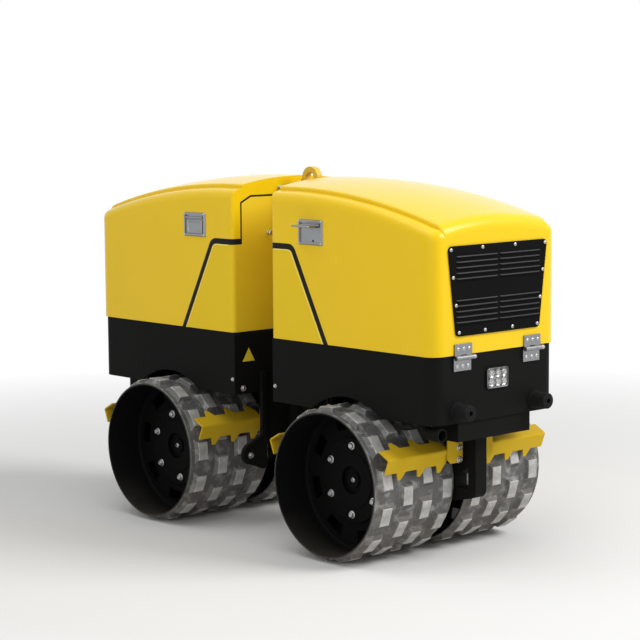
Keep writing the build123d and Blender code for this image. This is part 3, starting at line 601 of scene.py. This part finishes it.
def ring_points(radius, height, count=24):
    """Ring of points about Z."""
    return [
        Vector((radius * cos(2 * pi * k / count), radius * sin(2 * pi * k / count), height))
        for k in range(count)
    ]


def soft_rectangle(half_u, half_v, corner, height):
    """Ring of a rectangle with rounded corners."""
    points = []
    steps = 4
    for quarter, (su, sv) in enumerate(((1, 1), (-1, 1), (-1, -1), (1, -1))):
        for k in range(steps + 1):
            angle = pi / 2 * (quarter + k / steps)
            points.append(Vector((
                su * (half_u - corner) + corner * cos(angle),
                sv * (half_v - corner) + corner * sin(angle),
                height,
            )))
    return points


def placed(shape, origin, u, v, out):
    """Moves a shape drawn in u, v and out to its place on the machine."""
    axes = Matrix((Vector(u), Vector(v), Vector(out))).transposed().to_4x4()
    shape.transform(Matrix.Translation(origin) @ axes)
    return shape


def turned_part(name, profile, count=20):
    """A small turned part: (radius, height) pairs from its foot to its top."""
    shape = bmesh.new()
    looped(shape, [ring_points(radius, height, count) for radius, height in profile])
    return mesh_of(shape, name)


def hex_bolt(name, flat_radius, head, washer_radius, washer):
    """Flange washer under a chamfered hexagon head."""
    shape = bmesh.new()
    looped(shape, [
        ring_points(washer_radius, 0), ring_points(washer_radius, 0.8 * washer),
        ring_points(0.93 * washer_radius, washer),
    ])
    looped(shape, [
        ring_points(flat_radius, washer, 6), ring_points(flat_radius, washer + 0.82 * head, 6),
        ring_points(0.86 * flat_radius, washer + head, 6),
        ring_points(0.62 * flat_radius, washer + head, 6),
        ring_points(0.58 * flat_radius, washer + 0.88 * head, 6),
    ])
    return mesh_of(shape, name)


def socket_screw(name, radius, height):
    """Domed screw with a hexagon socket."""
    shape = bmesh.new()
    looped(shape, [
        ring_points(radius, 0), ring_points(radius, 0.25 * height),
        ring_points(0.86 * radius, 0.66 * height), ring_points(0.62 * radius, 0.93 * height),
        ring_points(0.44 * radius, height), ring_points(0.38 * radius, 0.95 * height),
        ring_points(0.34 * radius, 0.3 * height),
    ])
    return mesh_of(shape, name)


def louvre_lip():
    """Low pressed lip along the upper edge of a grille slot: u along it, v up, out from the plate."""
    shape = bmesh.new()
    half = SLOT_LENGTH / 2
    top = 0.0082
    section = (
        (top, -0.0008), (0.0070, 0.0016), (0.0050, 0.0027), (0.0030, 0.0028), (0.0030, 0.0018),
        (0.0050, 0.0006), (0.0056, -0.0008),
    )
    run_out = (
        (-half - 0.003, 0.02), (-half + 0.003, 0.8), (-half + 0.010, 1.0),
        (half - 0.010, 1.0), (half - 0.003, 0.8), (half + 0.003, 0.02),
    )
    loops = []
    for along, rise in run_out:
        height = 0.35 + 0.65 * rise
        loops.append([Vector((along, top + (v - top) * height, out * rise)) for v, out in section])
    looped(shape, loops)
    return mesh_of(shape, "louvre lip")


def slot_shadow():
    """Painted shadow: a dark inlay that draws a grille slot out to its pressed ends."""
    shape = bmesh.new()
    half = SLOT_LENGTH / 2
    looped(shape, [
        soft_rectangle(half, SLOT_SHADOW_HALF, 0.0044, -0.0005), soft_rectangle(half, SLOT_SHADOW_HALF, 0.0044, 0.0003),
        soft_rectangle(half - 0.0006, SLOT_SHADOW_HALF - 0.0006, 0.0038, 0.0005),
    ])
    return mesh_of(shape, "slot shadow")


def repeat_tree():
    """Geometry Nodes: a part at every point, turned by the point's turn attribute."""
    tree = bpy.data.node_groups.new("repeat on points", "GeometryNodeTree")
    given = {}
    for label, kind in (
        ("Points", "NodeSocketGeometry"), ("Part", "NodeSocketObject"),
        ("Finish", "NodeSocketMaterial"), ("Size", "NodeSocketFloat"),
    ):
        given[label] = tree.interface.new_socket(label, in_out="INPUT", socket_type=kind).identifier
    tree.interface.new_socket("Result", in_out="OUTPUT", socket_type="NodeSocketGeometry")
    source = tree.nodes.new("NodeGroupInput").outputs
    part = tree.nodes.new("GeometryNodeObjectInfo")
    turn = tree.nodes.new("GeometryNodeInputNamedAttribute")
    turn.data_type = "FLOAT_VECTOR"
    turn.inputs["Name"].default_value = "turn"
    rotation = tree.nodes.new("FunctionNodeEulerToRotation")
    spread = tree.nodes.new("GeometryNodeInstanceOnPoints")
    real = tree.nodes.new("GeometryNodeRealizeInstances")
    coat = tree.nodes.new("GeometryNodeSetMaterial")
    result = tree.nodes.new("NodeGroupOutput").inputs
    for start, end in (
        (source["Part"], part.inputs["Object"]),
        (source["Points"], spread.inputs["Points"]),
        (part.outputs["Geometry"], spread.inputs["Instance"]),
        (turn.outputs["Attribute"], rotation.inputs[0]),
        (rotation.outputs[0], spread.inputs["Rotation"]),
        (source["Size"], spread.inputs["Scale"]),
        (spread.outputs["Instances"], real.inputs["Geometry"]),
        (real.outputs["Geometry"], coat.inputs["Geometry"]),
        (source["Finish"], coat.inputs["Material"]),
        (coat.outputs["Geometry"], result["Result"]),
    ):
        tree.links.new(start, end)
    return tree, given


REPEAT, REPEAT_INPUTS = repeat_tree()


def facing(out, up=(0, 0, 1)):
    """Euler turn that points a part's Z along out and its Y along up."""
    out = Vector(out).normalized()
    across = Vector(up).cross(out).normalized()
    return Matrix((across, out.cross(across), out)).transposed().to_euler()


def repeated(name, part_mesh, places, finish, body, size=1.0):
    """One piece of many like parts: places are (point, euler turn) pairs."""
    points = bpy.data.meshes.new(name)
    points.from_pydata([tuple(point) for point, _ in places], [], [])
    turns = points.attributes.new("turn", "FLOAT_VECTOR", "POINT")
    for entry, (_, turn) in zip(turns.data, places):
        entry.vector = tuple(turn)
    part = bpy.data.objects.new(f"{name}_part", part_mesh)
    holder = bpy.data.objects.new(f"{name}_points", points)
    for made in (part, holder):
        scene.collection.objects.link(made)
    modifier = holder.modifiers.new("repeat", "NODES")
    modifier.node_group = REPEAT
    modifier[REPEAT_INPUTS["Part"]] = part
    modifier[REPEAT_INPUTS["Finish"]] = finish
    modifier[REPEAT_INPUTS["Size"]] = size
    graph = bpy.context.evaluated_depsgraph_get()
    mesh = bpy.data.meshes.new_from_object(holder.evaluated_get(graph), depsgraph=graph)
    mesh.name = name
    holder.modifiers.remove(modifier)
    bpy.data.objects.remove(holder)
    bpy.data.objects.remove(part)
    return piece(name, mesh, finish, body)


def dress_discs():
    """Flange bolts on each drum's bolt ring, and a screw in its hub."""
    bolt = hex_bolt("disc bolt", 0.0105, 0.008, 0.0145, 0.0025)
    screw = socket_screw("hub screw", 0.011, 0.006)
    first_angle = {
        ("front", "right"): 90, ("rear", "right"): 100, ("front", "left"): 75, ("rear", "left"): 110,
    }
    for end, way in ENDS.items():
        for side, hand in SIDES.items():
            body = f"{end}_{side}_drum"
            out = (0, hand, 0)
            places = []
            for k in range(DISC_BOLTS):
                angle = radians(first_angle[end, side] + 360 / DISC_BOLTS * k)
                places.append((
                    (
                        way * AXLE_X + DISC_BOLT_RADIUS * cos(angle), hand * DISC_RING_Y,
                        AXLE_Z + DISC_BOLT_RADIUS * sin(angle),
                    ),
                    facing(out, (sin(3 * angle), 0, cos(3 * angle))),
                ))
            repeated(f"{body}_bolts", bolt, places, ZINC, body)
            hub = [((way * AXLE_X, hand * HUB_Y, AXLE_Z), facing(out))]
            repeated(f"{body}_hub_screw", screw, hub, STAINLESS, body)


def dress_grilles():
    """Louvre lips in a lighter black as painted light, painted slot shadows and bright domed screws on each
    grille.
    """
    lip = louvre_lip()
    shadow = slot_shadow()
    screw = socket_screw("grille screw", 0.0068, 0.0042)
    for end, way in ENDS.items():
        face = way * GRILLE_X
        out = (way, 0, 0)
        lips = [
            ((face, y, z), facing(out)) for y in (-SLOT_Y, SLOT_Y) for z in SLOT_ROWS_Z
        ]
        repeated(f"{end}_louvre_lips", lip, lips, LIGHTENED_LOUVRE_BLACK, f"{end}_hood")
        repeated(f"{end}_slot_shadows", shadow, lips, HOLE_SHADE, f"{end}_hood")
        screws = [
            ((face, hand * y, z), facing(out, (0, 0.3, 1))) for y, z in GRILLE_SCREWS for hand in (-1, 1)
        ]
        repeated(f"{end}_grille_screws", screw, screws, ZINC, f"{end}_hood")


def dress_hinges():
    """Three pan screws in each hinge leaf, and a head on each hinge pin."""
    screw = socket_screw("hinge screw", 0.0072, 0.0036)
    head = turned_part("pin head", (
        (0.0066, 0.0), (0.0082, 0.0012), (0.0082, 0.0095), (0.0070, 0.0125), (0.0035, 0.0140),
    ))
    for end, way in ENDS.items():
        out = (way, 0, 0)
        rows = (
            ("hood", f"{end}_hood", HOOD_END_X, HINGE_PIN_Z + LEAF_SCREW_RISE),
            ("base", end, BASE_END_X, HINGE_PIN_Z - LEAF_SCREW_RISE),
        )
        for kind, body, end_x, z in rows:
            face = way * (end_x + LEAF_THICKNESS)
            places = [
                ((face, hand * HINGE_Y + step * LEAF_SCREW_STEP, z), facing(out, (0, 0.5 * step, 1)))
                for hand in (-1, 1) for step in (-1, 0, 1)
            ]
            repeated(f"{end}_{kind}_leaf_screws", screw, places, ZINC, body)
        pins = [
            ((way * HINGE_PIN_X, hand * HINGE_Y + way * HINGE_PIN_END, HINGE_PIN_Z), facing((0, way, 0)))
            for hand in (-1, 1)
        ]
        repeated(f"{end}_pin_heads", head, pins, ZINC, end)


def lamp_layer(name, end, rings, finish, close_first=True, close_last=True):
    """One layer of a lamp: rings of (inset, corner, height above the base's end)."""
    way = ENDS[end]
    half_u, half_v = LAMP_HALF
    shape = bmesh.new()
    looped(shape, [
        soft_rectangle(half_u - inset, half_v - inset, corner, height) for inset, corner, height in rings
    ], close_first, close_last)
    placed(shape, (way * BASE_END_X, 0, LAMP_Z), (0, way, 0), (0, 0, 1), (way, 0, 0))
    return piece(f"{end}_{name}", mesh_of(shape, name), finish, end)


def dress_lamps():
    """Work lamps: a black case with a grey frame, reflector cups, diodes and a clear lens."""
    cup = turned_part("reflector cup", (
        (0.0150, 0.0), (0.0150, 0.0052), (0.0143, 0.0056), (0.0125, 0.0034), (0.0090, 0.0016),
        (0.0055, 0.0010),
    ), 24)
    diode = turned_part("diode", (
        (0.0070, 0.0008), (0.0068, 0.0028), (0.0052, 0.0044), (0.0026, 0.0051),
    ), 16)
    for end, way in ENDS.items():
        case = lamp_layer("lamp_case", end, (
            (0.0, 0.013, -0.002), (0.0, 0.013, 0.0062), (0.0008, 0.012, 0.0070), (0.0026, 0.011, 0.0066),
            (0.0032, 0.010, 0.0010),
        ), LAMP_BODY)
        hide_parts(f"{end}_lamp")
        lamp_layer("lamp_frame", end, (
            (0.0034, 0.010, 0.0012), (0.0034, 0.010, 0.0078), (0.0044, 0.009, 0.0088),
            (0.0058, 0.008, 0.0080), (0.0064, 0.008, 0.0014),
        ), STAINLESS, close_last=False)
        lamp_layer("lamp_lens", end, (
            (0.0062, 0.008, 0.0080), (0.0062, 0.008, 0.0092), (0.0080, 0.008, 0.0104),
            (0.0120, 0.008, 0.0112), (0.0220, 0.008, 0.0118),
        ), LENS)
        grid = [
            ((way * (BASE_END_X + 0.001), y, LAMP_Z + z), facing((way, 0, 0)))
            for y in LAMP_COLUMNS_Y for z in LAMP_ROWS_Z
        ]
        repeated(f"{end}_lamp_reflectors", cup, grid, REFLECTOR, end)
        repeated(f"{end}_lamp_diodes", diode, grid, LED, end)


def paddle(open_out):
    """A latch's pull: a dished plate with a rolled rim; u along, v up from its hinge, w out."""
    shape = bmesh.new()
    half_u, half_v = 0.046, 0.026
    back = -0.0045 if open_out else 0.0
    looped(shape, [
        soft_rectangle(half_u - 0.001, half_v - 0.001, 0.004, back),
        soft_rectangle(half_u, half_v, 0.005, back + 0.001),
        soft_rectangle(half_u, half_v, 0.005, 0.0016),
        soft_rectangle(half_u - 0.0012, half_v - 0.0012, 0.004, 0.0026),
        soft_rectangle(half_u - 0.0085, half_v - 0.0075, 0.004, 0.0026),
        soft_rectangle(half_u - 0.0105, half_v - 0.0095, 0.003, 0.0006),
    ])
    if open_out:
        shape.transform(Matrix.Translation((0, 0, 0.028)) @ Matrix.Rotation(radians(86), 4, "X"))
        shape.transform(Matrix.Translation((0, 0.022, 0)))
    else:
        shape.transform(Matrix.Translation((0, -0.008, 0.0008)))
    return shape


def dress_latches():
    """Hinge bar, pull, corner screws, and dark discs of painted shade where each latch tray's holes are."""
    screw = socket_screw("tray screw", 0.0042, 0.0022)
    hole = turned_part("hinge hole shade", ((0.0042, 0.0), (0.0042, 0.0005), (0.0030, 0.0007)), 14)
    bar = turned_part("hinge bar", (
        (0.0036, -0.050), (0.0044, -0.049), (0.0044, 0.049), (0.0036, 0.050),
    ), 12)
    screw_u, screw_v = LATCH_SCREWS
    for end, way in ENDS.items():
        body = f"{end}_hood"
        corners, hole_shades, bars = [], [], []
        for side, hand in (("right", -1), ("left", 1)):
            middle = Vector((way * LATCH_X, hand * HOOD_SIDE_Y, LATCH_Z))
            out = Vector((0, hand, 0))
            along = Vector((-hand, 0, 0))
            floor = middle + out * LATCH_FLOOR
            for su in (-1, 1):
                for sv in (-1, 1):
                    corner = middle + out * LATCH_RIM + Vector((screw_u * su, 0, screw_v * sv))
                    corners.append((corner, facing(out)))
                # Dark discs of painted shade where the tray's holes are.
                hole_shades.append((floor + along * 0.047 * su + Vector((0, 0, 0.029)), facing(out)))
            hole_shades.append((floor + along * 0.014 + Vector((0, 0, -0.030)), facing(out)))
            bars.append((middle + out * LATCH_BAR_OUT + Vector((0, 0, LATCH_BAR_RISE)), facing(along)))
            shape = paddle(open_out=end == "front" and side == "right")
            placed(shape, floor, along, (0, 0, 1), out)
            piece(f"{end}_{side}_latch_pull", mesh_of(shape, "latch pull"), STAINLESS, body)
        repeated(f"{end}_latch_screws", screw, corners, ZINC, body)
        repeated(f"{end}_latch_holes", hole, hole_shades, HOLE_SHADE, body)
        repeated(f"{end}_latch_bars", bar, bars, STAINLESS, body)


def dress_buffers():
    """A recessed screw head in each rubber buffer, and a ring round its bore."""
    profile = (
        (0.0165, -0.001), (0.0165, 0.0006), (0.0150, 0.0012), (0.0105, 0.0012), (0.0090, 0.0004),
        (0.0088, -0.004),
    )
    shape = bmesh.new()
    looped(shape, [ring_points(radius, height) for radius, height in profile], False, False)
    ring = mesh_of(shape, "bore ring")
    head = socket_screw("buffer screw", 0.0084, 0.006)
    for end, way in ENDS.items():
        rows = (
            ("rings", ring, BUFFER_END_X, RUBBER, "rubber_black"),
            ("screws", head, BUFFER_SCREW_X, MATT_BLACK, "frame_black"),
        )
        for kind, part, x, finish, slot in rows:
            places = [((way * x, y, BUFFER_Z), facing((way, 0, 0))) for y in (-BUFFER_Y, BUFFER_Y)]
            repeated(f"{end}_buffer_{kind}", part, places, finish, end)


def dress_frame():
    """Bolts of the scraper feet, base edges and locking plate; rest knobs and rim catches."""
    bolt = hex_bolt("frame bolt", 0.0095, 0.0075, 0.0125, 0.002)
    small = hex_bolt("small bolt", 0.0055, 0.0045, 0.0075, 0.0012)
    for end, way in ENDS.items():
        feet = [
            ((way * FOOT_BOLT_X, hand * FOOT_BOLT_Y, z), facing((way, 0, 0), (0, 0.4, 1)))
            for hand in (-1, 1) for z in FOOT_BOLTS_Z
        ]
        repeated(f"{end}_foot_bolts", bolt, feet, ZINC, end)
        edges = []
        for hand in (-1, 1):
            turned = Vector((way, hand, 1))
            edges.append((Vector(SKIRT_SCREW) * turned, facing((0, hand, 0))))
            edges.append((Vector(BOTTOM_SCREW) * turned, facing((0, 0, -1), (1, 0, 0))))
        repeated(f"{end}_base_screws", small, edges, ZINC, end)
    knob = turned_part("rest knob", (
        (0.0085, 0.0), (0.0085, 0.003), (0.0060, 0.005), (0.0060, 0.011), (0.0092, 0.013),
        (0.0092, 0.017), (0.0075, 0.019), (0.0030, 0.0195),
    ))
    for end, way in ENDS.items():
        inward = facing((-way, 0, 0))
        for kind, (y, z), body, size in (
            ("rest_knob", REST_KNOB, end, 1.0), ("rim_catch", RIM_CATCH, f"{end}_hood", 0.8),
        ):
            place = [((way * INNER_X, way * y, z), inward)]
            repeated(f"{end}_{kind}", knob, place, ZINC, body, size)
    lock = [(point, facing((1, 0, 0))) for point in LOCK_BOLTS]
    repeated("lock_plate_bolts", bolt, lock, ZINC, "rear")


def dress_panels():
    """Rounded bead along the edge of each cowl's side panels, beside the rubber strip, in a paler yellow that
    is a painted highlight.
    """
    corner, down = Vector(BEAD_CORNER), Vector(BEAD_DOWN)
    path = [Vector((BEAD_START_X, corner.y))]
    bend_steps = 6
    for k in range(bend_steps + 1):
        share = k / bend_steps
        path.append(corner + Vector((-BEAD_BEND, 0)) * (1 - share) ** 2 + down * BEAD_BEND * share ** 2)
    path.append(corner + down * BEAD_LENGTH)
    for end, way in ENDS.items():
        for side, hand in SIDES.items():
            loops = []
            for k, point in enumerate(path):
                along = (path[min(k + 1, len(path) - 1)] - path[max(k - 1, 0)]).normalized()
                across = Vector((-along.y, along.x))
                spots = [(point + across * shift, lift) for shift, lift in BEAD_SECTION]
                loops.append([Vector((way * x, hand * (HOOD_SIDE_Y + lift), z)) for (x, z), lift in spots])
            shape = bmesh.new()
            looped(shape, loops)
            piece(f"{end}_{side}_panel_bead", mesh_of(shape, "panel bead"), BEAD_HIGHLIGHT_YELLOW, end)


def tube(name, path, outer, inner):
    """A pipe with a wall along a path of points in an upright lengthwise plane, open at both ends."""
    shape = bmesh.new()
    count = 24
    loops = []
    last = len(path) - 1
    directions = [
        (path[min(k + 1, last)] - path[max(k - 1, 0)]).normalized() for k in range(len(path))
    ]
    for radius, order in ((outer, range(len(path))), (inner, range(last, -1, -1))):
        for k in order:
            across = Vector((0, 1, 0)).cross(directions[k]).normalized()
            other = directions[k].cross(across)
            ring = ring_points(radius, 0, count)
            loops.append([path[k] + across * spot.x + other * spot.y for spot in ring])
    rings = looped(shape, loops, False, False)
    for k in range(count):
        after = (k + 1) % count
        shape.faces.new((rings[-1][k], rings[-1][after], rings[0][after], rings[0][k]))
    return mesh_of(shape, name)


def dress_outlet():
    """Bent outlet pipe under the front base, with its mouth at the end."""
    path = [Vector((x, OUTLET_Y, OUTLET_Z)) for x in (0.936, 0.930, OUTLET_BEND_X)]
    bend_steps = 7
    for k in range(1, bend_steps + 1):
        angle = radians(90 * k / bend_steps)
        path.append(Vector((
            OUTLET_BEND_X - OUTLET_BEND * sin(angle), OUTLET_Y, OUTLET_Z + OUTLET_BEND * (1 - cos(angle)),
        )))
    path.append(Vector((OUTLET_BEND_X - OUTLET_BEND, OUTLET_Y, OUTLET_TOP_Z)))
    piece("outlet_pipe", tube("outlet pipe", path, 0.0235, 0.0188), BLACK, "front")


def dress_sign():
    """A plain yellow triangle with a dark edge, on the rear half's inner face."""
    corners = [Vector((0, y, z)) for y, z in SIGN_CORNERS]
    middle = sum(corners, Vector()) / len(corners)
    layers = (
        ("sign_edge", 1.0, 0.0004, MATT_BLACK, "frame_black"),
        ("sign_face", 0.84, 0.0008, SIGN_YELLOW, "hood_yellow"),
    )
    for name, share, out, finish, slot in layers:
        shape = bmesh.new()
        loops = []
        for lift, grown in ((-0.0002, 1.0), (out, 1.0), (out + 0.0002, 0.985)):
            face = middle + Vector((lift - INNER_X, 0, 0))
            loops.append([face + (corner - middle) * share * grown for corner in corners])
        looped(shape, loops)
        piece(name, mesh_of(shape, name), finish, "rear")


def make_studio():
    """Pale floor that runs out to white, a white surround and soft lamps."""
    world = bpy.data.worlds.new("studio")
    scene.world = world
    world.use_nodes = True
    tree = world.node_tree
    tree.nodes.clear()
    out = tree.nodes.new("ShaderNodeOutputWorld")
    mix = tree.nodes.new("ShaderNodeMixShader")
    seen = tree.nodes.new("ShaderNodeBackground")
    seen.inputs["Color"].default_value = (1, 1, 1, 1)
    seen.inputs["Strength"].default_value = 1.0
    light = tree.nodes.new("ShaderNodeBackground")
    light.inputs["Color"].default_value = (0.94, 0.97, 1, 1)
    light.inputs["Strength"].default_value = 0.43
    tree.links.new(white_rays(tree), mix.inputs[0])
    tree.links.new(light.outputs[0], mix.inputs[1])
    tree.links.new(seen.outputs[0], mix.inputs[2])
    tree.links.new(mix.outputs[0], out.inputs["Surface"])
    make_floor()
    lamps = (  # name, place, size, power
        ("key", (5.0, 2.8, 5.2), 3.0, 355),
        ("top", (0.2, -1.4, 5.6), 4.5, 100),
        ("fill", (2.8, -6.0, 2.6), 4.0, 78),
    )
    for name, place, size, power in lamps:
        lamp = bpy.data.lights.new(name, "AREA")
        lamp.size = size
        lamp.energy = power
        holder = bpy.data.objects.new(name, lamp)
        scene.collection.objects.link(holder)
        holder.location = place
        aim = Vector((0, 0, 0.7)) - Vector(place)
        holder.rotation_euler = aim.to_track_quat("-Z", "Y").to_euler()


def white_rays(tree):
    """1 for rays that see the surround: from the camera, a gloss or through glass."""
    path = tree.nodes.new("ShaderNodeLightPath")
    total = path.outputs["Is Camera Ray"]
    for kind in ("Is Glossy Ray", "Is Transmission Ray"):
        total = chain_math(tree, "MAXIMUM", total, path.outputs[kind])
    return total


def make_floor():
    """Pale diffuse floor near the machine, white further out."""
    mesh = bpy.data.meshes.new("floor")
    reach = 30
    near, far = 1.7, 4.5
    mesh.from_pydata(
        [(-reach, -reach, 0), (reach, -reach, 0), (reach, reach, 0), (-reach, reach, 0)], [],
        [(0, 1, 2, 3)],
    )
    floor = bpy.data.objects.new("floor", mesh)
    scene.collection.objects.link(floor)
    ground = Finish("floor pale", (0.80, 0.79, 0.77), 0.9, specular=0.0)
    tree = ground.tree
    length = tree.nodes.new("ShaderNodeVectorMath")
    length.operation = "LENGTH"
    tree.links.new(tree.nodes.new("ShaderNodeTexCoord").outputs["Object"], length.inputs[0])
    outer = ground.ranged(length.outputs["Value"], 0.0, 1.0, near, far)
    share = chain_math(tree, "MULTIPLY", outer, white_rays(tree))
    glow = tree.nodes.new("ShaderNodeEmission")
    mix = tree.nodes.new("ShaderNodeMixShader")
    tree.links.new(share, mix.inputs[0])
    tree.links.new(ground.shader.outputs[0], mix.inputs[1])
    tree.links.new(glow.outputs[0], mix.inputs[2])
    tree.links.new(mix.outputs[0], tree.nodes["Material Output"].inputs["Surface"])
    mesh.materials.append(ground.material)


make_camera()
scene.view_settings.view_transform = "Standard"
dress_nodes()
dress_discs()
dress_grilles()
dress_hinges()
dress_lamps()
dress_latches()
dress_buffers()
dress_frame()
dress_panels()
dress_outlet()
dress_sign()
make_studio()
